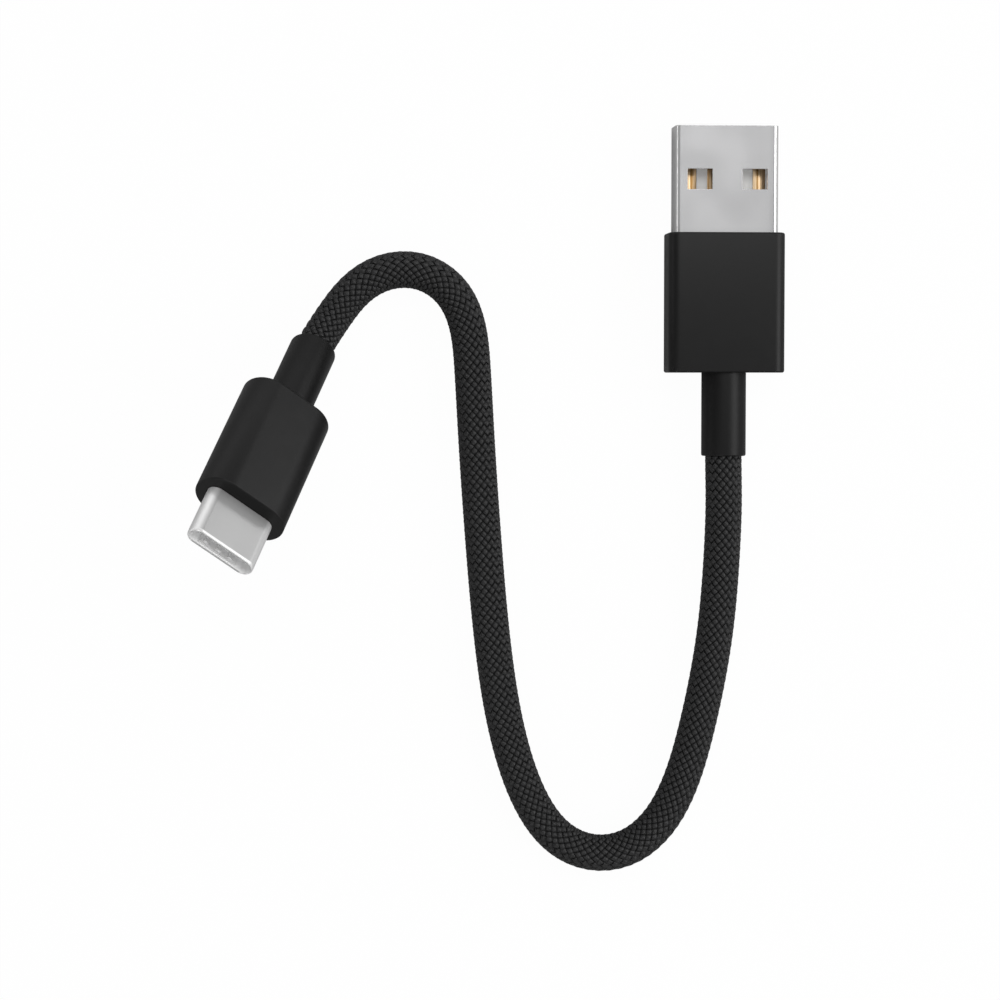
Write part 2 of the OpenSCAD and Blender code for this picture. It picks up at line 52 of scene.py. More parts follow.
# Type A plug
A_SHELL_W = 12.0
A_SHELL_T = 4.5
A_SHELL_WALL = 0.3
A_SHELL_R = 0.65                 # radius of the shell's long corners outside
A_SHELL_OUT = 12.3               # length of the shell in front of the housing
A_SHELL_IN = 6.2                 # and inside it
A_SHELL_EDGE = 0.05              # rounding of the sheet's edges
A_WINDOW_X = (1.75, 4.65)        # limits of a window across the plug
A_WINDOW_Y = (4.95, 7.3)         # and along it
A_SEAM = 0.1                     # open joint of the sheet underneath
A_CONTACT_W = 1.45
A_CONTACT_T = 0.3
A_CONTACT_TOP = 0.05             # height of a contact's top above the plug's middle plane
A_CONTACT_CROWN = 0.06           # how much lower a contact's long edges lie than its middle
A_TIP_L = 0.3                    # length of a contact's sloping tip
A_TIP_SINK = 0.08                # and how far it slopes down
A_TAIL_W = 0.9
A_TAIL_L = 2.0
A_SHOULDER_L = 0.05              # length over which a solder tail widens to its contact
A_CONTACTS = {                   # each contact's place across the plug, and where its tip lies along it
    "power": (-4.03, 11.0),
    "data_minus": (-1.3, 10.0),
    "data_plus": (1.3, 10.0),
    "ground": (4.03, 11.0),
}
A_BODY_W = 13.6
A_BODY_T = 6.2
A_BODY_L = 16.2
A_BODY_R = 1.35
A_BODY_EDGE = 0.25               # rounding of the housing's end edges
A_RELIEF_R = 2.6
A_RELIEF_L = 9.7

# Type C plug
C_SHELL_W = 8.25
C_SHELL_T = 2.4
C_SHELL_WALL = 0.2
C_SHELL_OUT = 6.3
C_SHELL_IN = 4.0
C_RIM_OUTSIDE = 0.45             # length of the mouth's rounding outside
C_RIM_INSIDE = 0.15              # and inside
C_RIM_STEPS = 12
C_RIM_PAINTED_HIGHLIGHT = (5, 35)         # the part of the rim's half turn that gets a painted highlight, in degrees
C_BODY_W = 10.8
C_BODY_T = 6.3
C_BODY_L = 15.8
C_FRONT_EDGE = 0.12              # rounding of the housing's front edge
C_REAR_EDGE = 0.35               # and of its rear edge
C_CAN_W = 8.8
C_CAN_T = 4.3
C_RELIEF_R = 2.7
C_RELIEF_L = 9.4
C_PLATE_LESS = 0.5               # how much thinner than the can the strain relief's holding plate is
C_RISE = 40.5                    # degrees by which the plug points up
C_ROLL = 16.5                    # and by which it is rolled round its length
C_HEADING = -114.7               # the way it points from above, in degrees from +X towards +Y
C_END = (-47.8, -5.5, 5.4)       # the end of the strain relief

# Inside both plugs
FIT = 0.02                       # clearance between pieces that seat in each other
END_WALL = 1.2                   # thickness of the wall at a housing's cord end
LUG_T = 1.1                     # thickness of a strain relief's holding plate
LUG_SIDE = 1.5                   # distance of a holding plate's ends from the sides of its pocket
RELIEF_EDGE = 0.2                # rounding of the strain reliefs' ends
RELIEF_SIDES = 64
JACKET_GRIP = 3.0                # how far jacket and shield run on past each housing's end wall

# Cord
CORD_R = 2.15
JACKET_R = 1.85
JACKET_BORE_R = 1.41
SHIELD_R = 1.4
SHIELD_BORE_R = 1.28
CENTRELINE_STEP = 1.0            # distance between the points of the cord's centreline
TUBE_SIDES = 24
TUBE_STEP = 1.0                  # distance between the rings of jacket and shield
HIDDEN_WEAVE = 3.0               # how far the weave's line runs on inside each strain relief
WEAVE_SHORT = 0.6                # and how far the strands stop short of that line's ends
STRANDS = 14                     # strands of the braid that wind each way
STRAND_PITCH = 14.3              # length of one turn of a strand
STRAND_LIFT = 0.24               # how far a strand rises where it passes over another
STRAND_SINK = 0.096              # and how far it sinks where it passes under
STRAND_CROWN = 0.13              # how much higher a strand's middle lies than its edges
STRAND_HALF_W = 0.48             # half of its width, as a share of the strands' spacing
STEPS_PER_WAVE = 7               # cross lines of a strand for every two that it crosses

# A strand's section: how far each corner lies from its middle, in half widths, and how high, in crowns
STRAND_SECTION = [(-1, 0), (-0.82, 0.85), (0, 1), (0.82, 0.85), (1, 0), (0, -0.6)]

# The cord's free route as (x, y, height above lying flat), from the type A plug to the type C plug
ROUTE = [
    (0.1, -22.83, 0.75), (0.02, -28.35, 0.31), (-0.26, -33.61, 0.03), (-0.79, -38.8, 0),
    (-1.66, -44.2, 0), (-2.84, -49.71, 0), (-4.09, -54.3, 0), (-5.43, -57.78, 0), (-6.94, -60.42, 0),
    (-8.68, -62.39, 0), (-10.62, -63.74, 0), (-12.74, -64.45, 0), (-14.94, -64.52, 0),
    (-17.09, -63.95, 0), (-19.09, -62.75, 0), (-20.85, -60.93, 0), (-22.42, -58.41, 0),
    (-23.83, -55.11, 0), (-25.06, -50.98, 0), (-26.07, -46.11, 0), (-26.87, -40.53, 0),
    (-27.51, -34.37, 0), (-28.07, -27.5, 0), (-28.57, -20.46, 0), (-28.98, -13.62, 0),
    (-29.33, -7.41, 0), (-29.73, -3.59, 0), (-30.47, -0.94, 0), (-31.63, 1.09, 0), (-33.21, 2.57, 0),
    (-35.13, 3.51, 0), (-37.23, 3.82, 0), (-39.39, 3.5, 0.08), (-41.46, 2.55, 0.19),
    (-43.35, 0.97, 0.42), (-45.01, -1.11, 0.89), (-46.53, -3.36, 1.83),
]

CAMERA_AT = (-47.8, -8.1, 300.0)
CAMERA_LEAN = (2.844, 4.165)     # degrees by which the camera looks towards -Y and towards +X
CAMERA_LENS = 92.27

FLOOR_R = 3000.0
FLOOR_SIDES = 64
FLOOR_HOLE_R = 0.001             # radius of the disc's inner ring, in place of a centre point
FLOOR_GREY = 0.36                # the floor's colour where it doesn't glow
FLOOR_GLOW = 1.03                # radiance of the glow
GLOW_SEEN = 0.945                # share of the glow in what the camera sees of the floor
GLOW_IN_GLOSS = 0.9              # and in what shiny pieces mirror of the floor's outer part
GLOW_ROUND = (-50.0, -50.0, 0.0)  # the spot that the outer part lies round
GLOW_FROM = (100.0, 150.0)       # how far from that spot it begins and is full

ROOM_GREY = 0.3                  # radiance of the room
MIDDLE = (-27.0, -22.0, 0.0)     # what every lamp faces
LAMPS = {                        # each soft box's place, size and radiance
    "overhead": ((-25, 20, 620), (420, 520), 0.47),
    "right_strip": ((460, 0, 385), (800, 360), 3.1),
    "right_card": ((475, 300, 65), (400, 130), 2.2),
    "front_card": ((-230, -420, 400), (450, 350), 1.5),
    "rear_key": ((-20, 290, 560), (400, 250), 3.5),
    "left_card": ((-600, 0, 95), (1200, 70), 2.3),
    "back_card": ((-80, 600, 90), (900, 240), 1.1),
}


def turned(axis, degrees):
    """Matrix that turns points about the x, y or z axis, right-handed."""
    c, s = np.cos(radians(degrees)), np.sin(radians(degrees))
    after, last = (axis + 1) % 3, (axis + 2) % 3
    m = np.eye(3)
    m[after, after], m[after, last] = c, -s
    m[last, after], m[last, last] = s, c
    return m


class Plug:
    """Where a plug lies: its own frame's origin in the cable's frame, and the turn that goes with it."""

    def __init__(self, origin, turn):
        self.origin = np.array(origin, float)
        self.turn = turn

    def at(self, points):
        return np.asarray(points, float) @ self.turn.T + self.origin


PLUG_A = Plug((0, A_BODY_L / 2, A_BODY_T / 2), np.eye(3))
C_TURN = turned(2, C_HEADING - 90) @ turned(0, C_RISE) @ turned(1, -C_ROLL)
PLUG_C = Plug(C_TURN @ (0, C_BODY_L + C_RELIEF_L, 0) + C_END, C_TURN)


# ---------------------------------------------------------------------------------------------
# Materials
# ---------------------------------------------------------------------------------------------

class Value:
    """A number, colour or place that varies over a surface: one output socket. Arithmetic adds Math nodes."""

    def __init__(self, finish, socket):
        self.finish = finish
        self.socket = socket

    def worked(self, operation, *numbers):
        math = self.finish.node("ShaderNodeMath", {"operation": operation}, dict(enumerate(numbers)))
        return Value(self.finish, math.outputs[0])

    def __add__(self, other):
        return self.worked("ADD", self, other)

    def __radd__(self, other):
        return self.worked("ADD", other, self)

    def __sub__(self, other):
        return self.worked("SUBTRACT", self, other)

    def __rsub__(self, other):
        return self.worked("SUBTRACT", other, self)

    def __mul__(self, other):
        return self.worked("MULTIPLY", self, other)

    def __rmul__(self, other):
        return self.worked("MULTIPLY", other, self)

    def at_most(self, limit):
        return self.worked("MINIMUM", self, limit)

    def sine(self):
        return self.worked("SINE", self)


class Finish:
    """A procedural material: one Principled shader and the nodes that feed it."""

    def __init__(self, name, colour, roughness, **constants):
        self.name = name
        self.material = bpy.data.materials.new(name)
        self.material.use_nodes = True
        self.tree = self.material.node_tree
        self.shader = self.tree.nodes["Principled BSDF"]
        self.set(Base_Color=colour, Roughness=roughness, **constants)

    def set(self, **inputs):
        """Sets or feeds inputs of the shader, named with _ in place of spaces."""
        for key, value in inputs.items():
            self.feed(self.shader.inputs[key.replace("_", " ")], value)

    def feed(self, socket, value):
        if isinstance(value, Value):
            self.tree.links.new(value.socket, socket)
        elif socket.type == "RGBA":
            socket.default_value = (*value, 1.0)
        else:
            socket.default_value = value

    def node(self, kind, settings=None, inputs=None):
        """Adds a node of that kind: its settings first, then the values or links of its inputs."""
        node = self.tree.nodes.new(kind)
        for key, value in (settings or {}).items():
            setattr(node, key, value)
        for key, value in (inputs or {}).items():
            self.feed(node.inputs[key], value)
        return node

    def place(self):
        return Value(self, self.node("ShaderNodeTexCoord").outputs["Object"])

    def noise(self, size, detail=2.0, stretch=(1, 1, 1)):
        """Noise whose patches measure size in millimetres, times stretch along x, y and z."""
        patch = tuple(size * MM * s for s in stretch)
        patches = self.node("ShaderNodeMapping", {"vector_type": "TEXTURE"},
            {"Vector": self.place(), "Scale": patch})
        texture = self.node("ShaderNodeTexNoise", None,
            {"Vector": Value(self, patches.outputs[0]), "Scale": 1.0, "Detail": detail})
        return Value(self, texture.outputs["Fac"])

    def across(self):
        """The u and v of the piece's own map."""
        uv = Value(self, self.node("ShaderNodeUVMap").outputs["UV"])
        apart = self.node("ShaderNodeSeparateXYZ", None, {0: uv})
        return Value(self, apart.outputs[0]), Value(self, apart.outputs[1])

    def mixed(self, share, first, second):
        """A colour between two colours."""
        mix = self.node("ShaderNodeMix", {"data_type": "RGBA"}, {0: share, 6: first, 7: second})
        return Value(self, mix.outputs[2])

    def steep(self, value, low=0.35, high=0.65):
        """The value spread out, so that it runs from 0 at low to 1 at high."""
        spread = self.node("ShaderNodeMapRange", None, {0: value, 1: low, 2: high})
        return Value(self, spread.outputs[0])

    def relief(self, height, depth):
        """A surface relief: height from 0 to 1 stands for depth in millimetres."""
        bump = self.node("ShaderNodeBump", None,
            {"Height": height, "Distance": depth * MM, "Strength": 1.0})
        self.set(Normal=Value(self, bump.outputs[0]))
        return self


def grey(level):
    return (level, level, level)


def shell_steel(name, dark, pale, painted_highlight, metallic, roughness):
    """Nickel-plated steel: a smooth satin sheet with a faint grain along it and a cloudy gloss. Where u is 1,
    where a shell faces sideways and on part of its rim, it is painted brighter: a painted highlight. Where v
    is 1, inside a drawn shell, it is painted paler, painted light on the shaded inside, and less metallic."""
    f = Finish(name, pale, roughness, Metallic=metallic)
    side, inside = f.across()
    sheet = f.mixed(f.steep(f.noise(5.0, detail=0.0)), dark, pale)
    # painted highlight: the colour turns brighter where the surface faces sideways and on the rim's bright
    # part
    sheet = f.mixed(f.steep(side, 0.1, 0.6), sheet, painted_highlight)
    # painted light: inside a drawn shell the colour turns pale grey, brightening its shaded inside
    f.set(Base_Color=f.mixed(inside, sheet, grey(0.93)))
    f.set(Metallic=metallic - inside * 0.4)
    f.set(Roughness=roughness - 0.05 + f.noise(4.0, detail=1.0) * 0.1)
    grain = f.noise(0.05, detail=1.0, stretch=(1, 30, 1))
    return f.relief(grain, 0.0006)


def housing_plastic():
    """Black moulded plastic: a fine matte grain, a little uneven in gloss, and painted shade where v is 1."""
    black = (0.002, 0.002, 0.0021)
    f = Finish("housing_plastic", black, 0.42, IOR=1.34)
    painted_shade = f.across()[1]
    # painted shade: near black where v is 1, on the type C housing's front face
    f.set(Base_Color=f.mixed(painted_shade, black, grey(0.0005)))
    f.set(Roughness=0.38 + f.noise(1.5) * 0.08)
    return f.relief(f.noise(0.09), 0.004)


def relief_rubber():
    """Black rubber of the strain reliefs: like the housings, a little duller."""
    f = Finish("relief_rubber", (0.002, 0.002, 0.0021), 0.42, IOR=1.31)
    f.set(Roughness=0.38 + f.noise(1.2) * 0.08)
    return f.relief(f.noise(0.07), 0.004)


def braid_fabric():
    """Black yarn: seven fine filaments along each strand. v is how high the strand lies, from 0 where it
    passes under another to 1 where it passes over. Painted shade makes the yarn darker low down, and along
    its edges by the fourth power of the distance from its middle."""
    f = Finish("braid_fabric", (0.01, 0.01, 0.0103), 0.34, IOR=1.31)
    u, height = f.across()
    filaments = (u * (2 * pi * 7)).sine() * 0.5 + 0.5
    off_middle = u - 0.5
    squared = off_middle * off_middle
    unshaded_share = f.steep(height, 0.05, 0.6) * (1.0 - squared * squared * 13.0)
    patches = f.noise(0.6)
    # painted shade: the near black colour where the strand passes under another and along its edges
    f.set(Base_Color=f.mixed(unshaded_share * (patches * 0.8 + 0.5), grey(0.001), (0.020, 0.020, 0.0205)))
    f.set(Roughness=0.27 + patches * 0.14)
    return f.relief(filaments + f.noise(0.05) * 0.6, 0.005)


def jacket_rubber():
    """Dark jacket under the braid."""
    f = Finish("jacket_rubber", grey(0.005), 0.8, IOR=1.3)
    return f.relief(f.noise(0.3), 0.01)


def contact_gold():
    """Gold plate on a stamped strip, with drawn lines along it."""
    f = Finish("contact_gold", (0.84, 0.60, 0.33), 0.3, Metallic=1.0)
    lines = f.noise(0.22, detail=1.0, stretch=(1, 60, 1))
    f.set(Base_Color=f.mixed(f.steep(lines), (0.30, 0.17, 0.06), (0.82, 0.62, 0.40)))
    f.set(Roughness=0.26 + f.noise(0.3) * 0.08)
    return f.relief(lines, 0.002)


def plain_plastic(name, colour, other, roughness):
    """Smooth moulded plastic with a faint flow mottle."""
    f = Finish(name, colour, roughness)
    f.set(Base_Color=f.mixed(f.noise(2.0), colour, other))
    f.set(Roughness=roughness + f.noise(0.8) * 0.1)
    return f.relief(f.noise(0.1), 0.002)


def plain_metal(name, colour, other, roughness, metallic=1.0):
    """Bare sheet or wire with a slightly stained gloss."""
    f = Finish(name, colour, roughness, Metallic=metallic)
    f.set(Base_Color=f.mixed(f.noise(0.8, detail=3.0), colour, other))
    f.set(Roughness=roughness + f.noise(0.4) * 0.15)
    return f.relief(f.noise(0.06, detail=1.0, stretch=(1, 12, 1)), 0.001)


finishes = [
    # the brighter colour given for where u is 1 is a painted highlight on each shell
    shell_steel("shell_steel", dark=(0.53, 0.53, 0.535), pale=(0.60, 0.60, 0.605), painted_highlight=grey(0.78),
        metallic=0.84, roughness=0.22),
    shell_steel("shell_satin", dark=grey(0.35), pale=grey(0.365), painted_highlight=grey(0.76),
        metallic=0.45, roughness=0.34),
    plain_plastic("carrier_plastic", (0.93, 0.93, 0.92), (0.97, 0.97, 0.96), 0.35),
    plain_plastic("slot_plastic", grey(0.86), grey(0.92), 0.4),
    contact_gold(),
    plain_metal("collar_brass", (0.78, 0.56, 0.25), (0.66, 0.44, 0.2), 0.3),
    plain_metal("can_steel", grey(0.92), grey(0.86), 0.4, metallic=0.4),
    plain_plastic("mold_plastic", (0.72, 0.70, 0.62), (0.80, 0.78, 0.70), 0.5),
    housing_plastic(),
    relief_rubber(),
    plain_plastic("board_laminate", (0.02, 0.16, 0.06), (0.03, 0.21, 0.08), 0.3),
    plain_plastic("resistor_black", grey(0.02), grey(0.05), 0.35),
    braid_fabric(),
    jacket_rubber(),
    plain_metal("shield_foil", (0.8, 0.8, 0.81), (0.7, 0.7, 0.71), 0.25),
    plain_plastic("wire_red", (0.55, 0.02, 0.015), (0.65, 0.03, 0.02), 0.35),
    plain_plastic("wire_black", grey(0.012), grey(0.03), 0.35),
    plain_plastic("wire_white", (0.75, 0.75, 0.73), (0.82, 0.82, 0.80), 0.35),
    plain_plastic("wire_green", (0.01, 0.22, 0.04), (0.02, 0.3, 0.06), 0.35),
    plain_metal("copper", (0.86, 0.42, 0.26), (0.76, 0.34, 0.2), 0.3),
]
FINISHES = {finish.name: finish.material for finish in finishes}


# ---------------------------------------------------------------------------------------------
# Meshes
# ---------------------------------------------------------------------------------------------

def cells(rows, columns, wrap_rows=False, wrap_columns=False):
    """Corner numbers of the cells of a grid of points, with the last row or column joined to the first."""
    i = np.arange(rows if wrap_rows else rows - 1)[:, None]
    j = np.arange(columns if wrap_columns else columns - 1)[None, :]
    below, right = (i + 1) % rows, (j + 1) % columns
    corners = [i * columns + j, i * columns + right, below * columns + right, below * columns + j]
    return np.stack(np.broadcast_arrays(*corners), -1).reshape(-1, 4)


def outwards(points, quads):
    """The quads of closed surfaces, turned round if their volume comes out negative. It is the sum of the
    triple products of the two triangles of each quad, and its scale doesn't matter here."""
    a, b, c, d = (points[quads[:, k]] for k in range(4))
    volume = (np.cross(a, b) * c).sum() + (np.cross(a, c) * d).sum()
    return quads if volume > 0 else quads[:, ::-1]


def piece(name, node, points, quads, finish, uv=None, crease=40):
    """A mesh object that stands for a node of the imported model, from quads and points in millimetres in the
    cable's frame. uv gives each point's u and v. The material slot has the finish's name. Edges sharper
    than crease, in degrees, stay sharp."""
    points = np.asarray(points, float).reshape(-1, 3) * MM
    quads = outwards(points, quads)
    mesh = bpy.data.meshes.new(name)
    mesh.vertices.add(len(points))
    mesh.vertices.foreach_set("co", points.astype(np.float32).ravel())
    mesh.loops.add(quads.size)
    mesh.loops.foreach_set("vertex_index", quads.astype(np.int32).ravel())
    mesh.polygons.add(len(quads))
    mesh.polygons.foreach_set("loop_start", np.arange(0, quads.size, 4, dtype=np.int32))
    mesh.update(calc_edges=True)
    if uv is not None:
        layer = mesh.uv_layers.new(name="UVMap")
        layer.uv.foreach_set("vector", np.asarray(uv, np.float32).reshape(-1, 2)[quads.ravel()].ravel())
    mesh.shade_smooth()
    mesh.set_sharp_from_angle(angle=radians(crease))
    mesh.materials.append(FINISHES[finish])
    obj = bpy.data.objects.new(name, mesh)
    bpy.context.scene.collection.objects.link(obj)
    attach(obj, "root")
    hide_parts(node)
    return obj


def round_edges(obj, width, sharper_than=35, segments=3):
    """Rounds a piece's edges that are sharper than an angle in degrees."""
    bevel = obj.modifiers.new("rounded edges", "BEVEL")
    bevel.width = width * MM
    bevel.segments = segments
    bevel.limit_method = "ANGLE"
    bevel.angle_limit = radians(sharper_than)
    bevel.harden_normals = True


def round_rect(w, t, r, steps=10):
    """Outline of a rectangle with round corners in x and z: four quarter circles joined by straight sides."""
    corner = np.repeat(np.array([(1, 1), (-1, 1), (-1, -1), (1, -1)]), steps + 1, axis=0)
    angle = (np.arange(4)[:, None] * 90 + np.linspace(0, 90, steps + 1)[None, :]).ravel()
    middle = corner * (w / 2 - r, t / 2 - r)
    return middle + r * np.stack([np.cos(np.radians(angle)), np.sin(np.radians(angle))], -1)


def oval(w, t, steps=16):
    """Outline of a slot with half-round ends."""
    return round_rect(w, t, t / 2, steps)


def circle(r, steps=10):
    return round_rect(2 * r, 2 * r, r, steps)


def station(outline, y):
    """An outline in x and z, carried to the distance y along the plug."""
    return np.stack([outline[:, 0], np.full(len(outline), y), outline[:, 1]], -1)


def rounding(outline, y_side, y_face, steps=4):
    """Stations that round an end edge. outline(inset) is the outline drawn in by inset. The quarter circle
    starts on the side wall at y_side and ends on the end face at y_face."""
    r = abs(y_face - y_side)
    turn = np.radians(np.linspace(0, 90, steps + 1))
    return [station(outline(r * (1 - np.cos(a))), y_side + (y_face - y_side) * np.sin(a)) for a in turn]


def ring_body(name, node, plug, stations, finish, u=0.0, v=0.0):
    """A closed body with a hole along the plug: each station is a loop of points, each loop is joined to
    the next and the last to the first. u and v are numbers for each station and each point of its loop."""
    points = plug.at(np.stack(stations))
    rows, columns = points.shape[:2]
    quads = cells(rows, columns, wrap_rows=True, wrap_columns=True)
    uv = np.stack([np.broadcast_to(u, (rows, columns)), np.broadcast_to(v, (rows, columns))], -1)
    piece(name, node, points, quads, finish, uv)


# ---------------------------------------------------------------------------------------------
# Camera
# ---------------------------------------------------------------------------------------------

def camera():
    """A camera above the type C plug that looks down and leans a little."""
    data = bpy.data.cameras.new("camera")
    data.lens = CAMERA_LENS
    data.clip_start = 0.01
    obj = bpy.data.objects.new("camera", data)
    obj.location = np.array(CAMERA_AT) * MM
    obj.rotation_euler = (-radians(CAMERA_LEAN[0]), -radians(CAMERA_LEAN[1]), 0)
    bpy.context.scene.collection.objects.link(obj)
    bpy.context.scene.camera = obj


# ---------------------------------------------------------------------------------------------
# Cord
# ---------------------------------------------------------------------------------------------

class Line:
    """A smooth line through points: a cubic spline in the distance between them, straight at both ends and
    never lower than lowest. It is kept as a dense table of places along it, with the directions across it
    and above it."""

    def __init__(self, points, lowest, step=0.05):
        points = np.asarray(points, float)
        knots = np.append(0, np.cumsum(np.linalg.norm(np.diff(points, axis=0), axis=1)))
        bend = self.bends(points, knots)
        t = np.linspace(0, knots[-1], int(knots[-1] / step))
        i = np.clip(np.searchsorted(knots, t) - 1, 0, len(points) - 2)
        h, a, b = np.diff(knots)[i, None], (t - knots[i])[:, None], (knots[i + 1] - t)[:, None]
        places = (bend[i] * b ** 3 + bend[i + 1] * a ** 3) / (6 * h)
        places += (points[i] / h - bend[i] * h / 6) * b + (points[i + 1] / h - bend[i + 1] * h / 6) * a
        places[:, 2] = np.maximum(places[:, 2], lowest)
        self.places = places
        self.at = np.append(0, np.cumsum(np.linalg.norm(np.diff(places, axis=0), axis=1)))
        self.length = self.at[-1]
        along = np.gradient(places, axis=0)
        along /= np.linalg.norm(along, axis=1)[:, None]
        side = np.cross(along, (0, 0, 1))
        self.side = side / np.linalg.norm(side, axis=1)[:, None]
        self.up = np.cross(self.side, along)

    @staticmethod
    def bends(points, knots):
        """The spline's second derivative at each point, zero at both ends, from the rule that neighbouring
        cubics have the same slope where they meet."""
        gaps = np.diff(knots)
        slopes = np.diff(points, axis=0) / gaps[:, None]
        inner = np.arange(1, len(points) - 1)
        rule = np.eye(len(points))
        rule[inner, inner - 1] = gaps[:-1]
        rule[inner, inner] = 2 * (gaps[:-1] + gaps[1:])
        rule[inner, inner + 1] = gaps[1:]
        right = np.zeros((len(points), 3))
        right[1:-1] = 6 * np.diff(slopes, axis=0)
        return np.linalg.solve(rule, right)

    def look_up(self, table, s):
        return np.stack([np.interp(s, self.at, table[:, k]) for k in range(3)], -1)

    def around(self, s, angle, r):
        """Points at the distance s along the line, at an angle round it and a distance r from it."""
        across = np.cos(angle)[..., None] * self.look_up(self.side, s)
        above = np.sin(angle)[..., None] * self.look_up(self.up, s)
        return self.look_up(self.places, s) + np.asarray(r)[..., None] * (across + above)


def cord_line(a_y, c_y):
    """The cord's middle line from y = a_y inside the type A plug to y = c_y inside the type C plug."""
    a_end, c_end = -(A_BODY_L + A_RELIEF_L), -(C_BODY_L + C_RELIEF_L)
    start = [(0, y, 0) for y in (a_y, (a_y + a_end) / 2, a_end)]
    free = [(x, y, z + CORD_R) for x, y, z in ROUTE]
    end = [(0, y, 0) for y in (c_end, (c_y + c_end) / 2, c_y)]
    return Line([*PLUG_A.at(start), *free, *PLUG_C.at(end)], lowest=CORD_R)


def tube(name, node, line, r_out, r_in, finish):
    """A tube along a line: rings of the outer wall forwards, then of the inner wall backwards."""
    s = np.linspace(0, line.length, int(line.length / TUBE_STEP) + 2)
    angle = np.linspace(0, 2 * np.pi, TUBE_SIDES, endpoint=False)
    s, angle = np.broadcast_arrays(s[:, None], angle[None, :])
    outer, inner = (line.around(s, angle, np.full(s.shape, r)) for r in (r_out, r_in))
    rings = np.concatenate([outer, inner[::-1]])
    quads = cells(len(rings), TUBE_SIDES, wrap_rows=True, wrap_columns=True)
    return piece(name, node, rings, quads, finish)


def weave(line, way):
    """The strands of the braid that wind one way, 1 or -1, each a closed ribbon along a helix.

    Strand k lies at the angle 2 pi k / STRANDS plus way times one turn for each STRAND_PITCH. A ribbon's
    cross lines follow the strands of the other way, so the two families of ribbons form diamonds. Its
    height is a cosine with one wave for every two strands crossed, flattened at its tops by a sine: it
    passes over one strand and under the next, and the other family has the opposite height. Across the
    ribbon the height is a low crown."""
    wave = STRAND_PITCH / STRANDS
    u, crown = np.array(STRAND_SECTION).T * [[STRAND_HALF_W], [STRAND_CROWN]]
    strand = np.arange(STRANDS)[:, None, None]
    centre = np.arange(WEAVE_SHORT, line.length - WEAVE_SHORT, wave / STEPS_PER_WAVE)[None, :, None]
    phase = way * np.sin(pi / 2 * np.cos(2 * pi * centre / wave))
    lift = np.where(phase > 0, STRAND_LIFT, STRAND_SINK) * phase
    s = centre - way * u * wave / 2
    angle = 2 * pi * strand / STRANDS + u * pi / STRANDS + way * 2 * pi * centre / STRAND_PITCH
    r = CORD_R - STRAND_LIFT - STRAND_CROWN + lift + crown
    s, angle, r = np.broadcast_arrays(s, angle, r)
    count, rows, columns = s.shape
    sheet = cells(rows, columns, wrap_columns=True)
    start = np.array([[5, 2, 1, 0], [5, 4, 3, 2]])
    end = start[:, ::-1] + (rows - 1) * columns
    ribbon = np.concatenate([sheet, start, end])
    quads = (ribbon[None] + (np.arange(count) * rows * columns)[:, None, None]).reshape(-1, 4)
    across = np.broadcast_to(0.5 + u, s.shape)
    height = np.broadcast_to(0.5 + 0.5 * phase, s.shape)
    return line.around(s, angle, r), quads, np.stack([across, height], -1)


def cord():
    """The braid's two families of strands and the smooth tubes inside it."""
    a_end, c_end = A_BODY_L + A_RELIEF_L, C_BODY_L + C_RELIEF_L
    line = cord_line(HIDDEN_WEAVE - a_end, HIDDEN_WEAVE - c_end)
    for way, name in ((1, "cord_braid_right"), (-1, "cord_braid_left")):
        points, quads, uv = weave(line, way)
        piece(name, "cord_braid", points, quads, "braid_fabric", uv=uv, crease=75)
    full = cord_line(JACKET_GRIP + END_WALL - A_BODY_L, JACKET_GRIP + END_WALL - C_BODY_L)
    jacket = tube("cord_jacket_smooth", "cord_jacket", full, JACKET_R, JACKET_BORE_R, "jacket_rubber")
    shield = tube("cord_shield_smooth", "cord_shield", full, SHIELD_R, SHIELD_BORE_R, "shield_foil")
    path = line.look_up(line.places, np.arange(0, line.length, CENTRELINE_STEP)) * MM
    print("cord, from relief to relief:", round(line.length - 2 * HIDDEN_WEAVE, 1), "mm")
    tuple(PLUG_A.at((0, -a_end, 0)) * MM)


# ---------------------------------------------------------------------------------------------
# Type A plug
# ---------------------------------------------------------------------------------------------

def a_shell_outline(corner_steps=8):
    """Round the shell's outline, from one side of the seam to the other: the points that the outer and the
    inner wall lie round, and the direction from each to the walls."""
    flat_x, flat_z = A_SHELL_W / 2 - A_SHELL_R, A_SHELL_T / 2 - A_SHELL_R
    near, far = A_WINDOW_X
    quarter = np.linspace(0, 90, corner_steps + 1)

    def run(xs, z, angle):
        return [(x, z, angle) for x in xs]

    def corner(x, z, angle):
        return [(x, z, angle + turn) for turn in quarter]

    spots = run((A_SEAM / 2, near, far), -flat_z, -90)
    spots += corner(flat_x, -flat_z, -90) + corner(flat_x, flat_z, 0)
    spots += run((far, near, -near, -far), flat_z, 90)
    spots += corner(-flat_x, flat_z, 90) + corner(-flat_x, -flat_z, 180)
    spots += run((-far, -near, -A_SEAM / 2), -flat_z, 270)
    x, z, angle = np.array(spots).T
    return np.stack([x, z], -1), np.stack([np.cos(np.radians(angle)), np.sin(np.radians(angle))], -1)


def between(values, limits):
    """Whether the middle between each value and the next lies between two limits, whatever its sign."""
    middle = np.abs(values[1:] + values[:-1]) / 2
    return (middle > limits[0]) & (middle < limits[1])


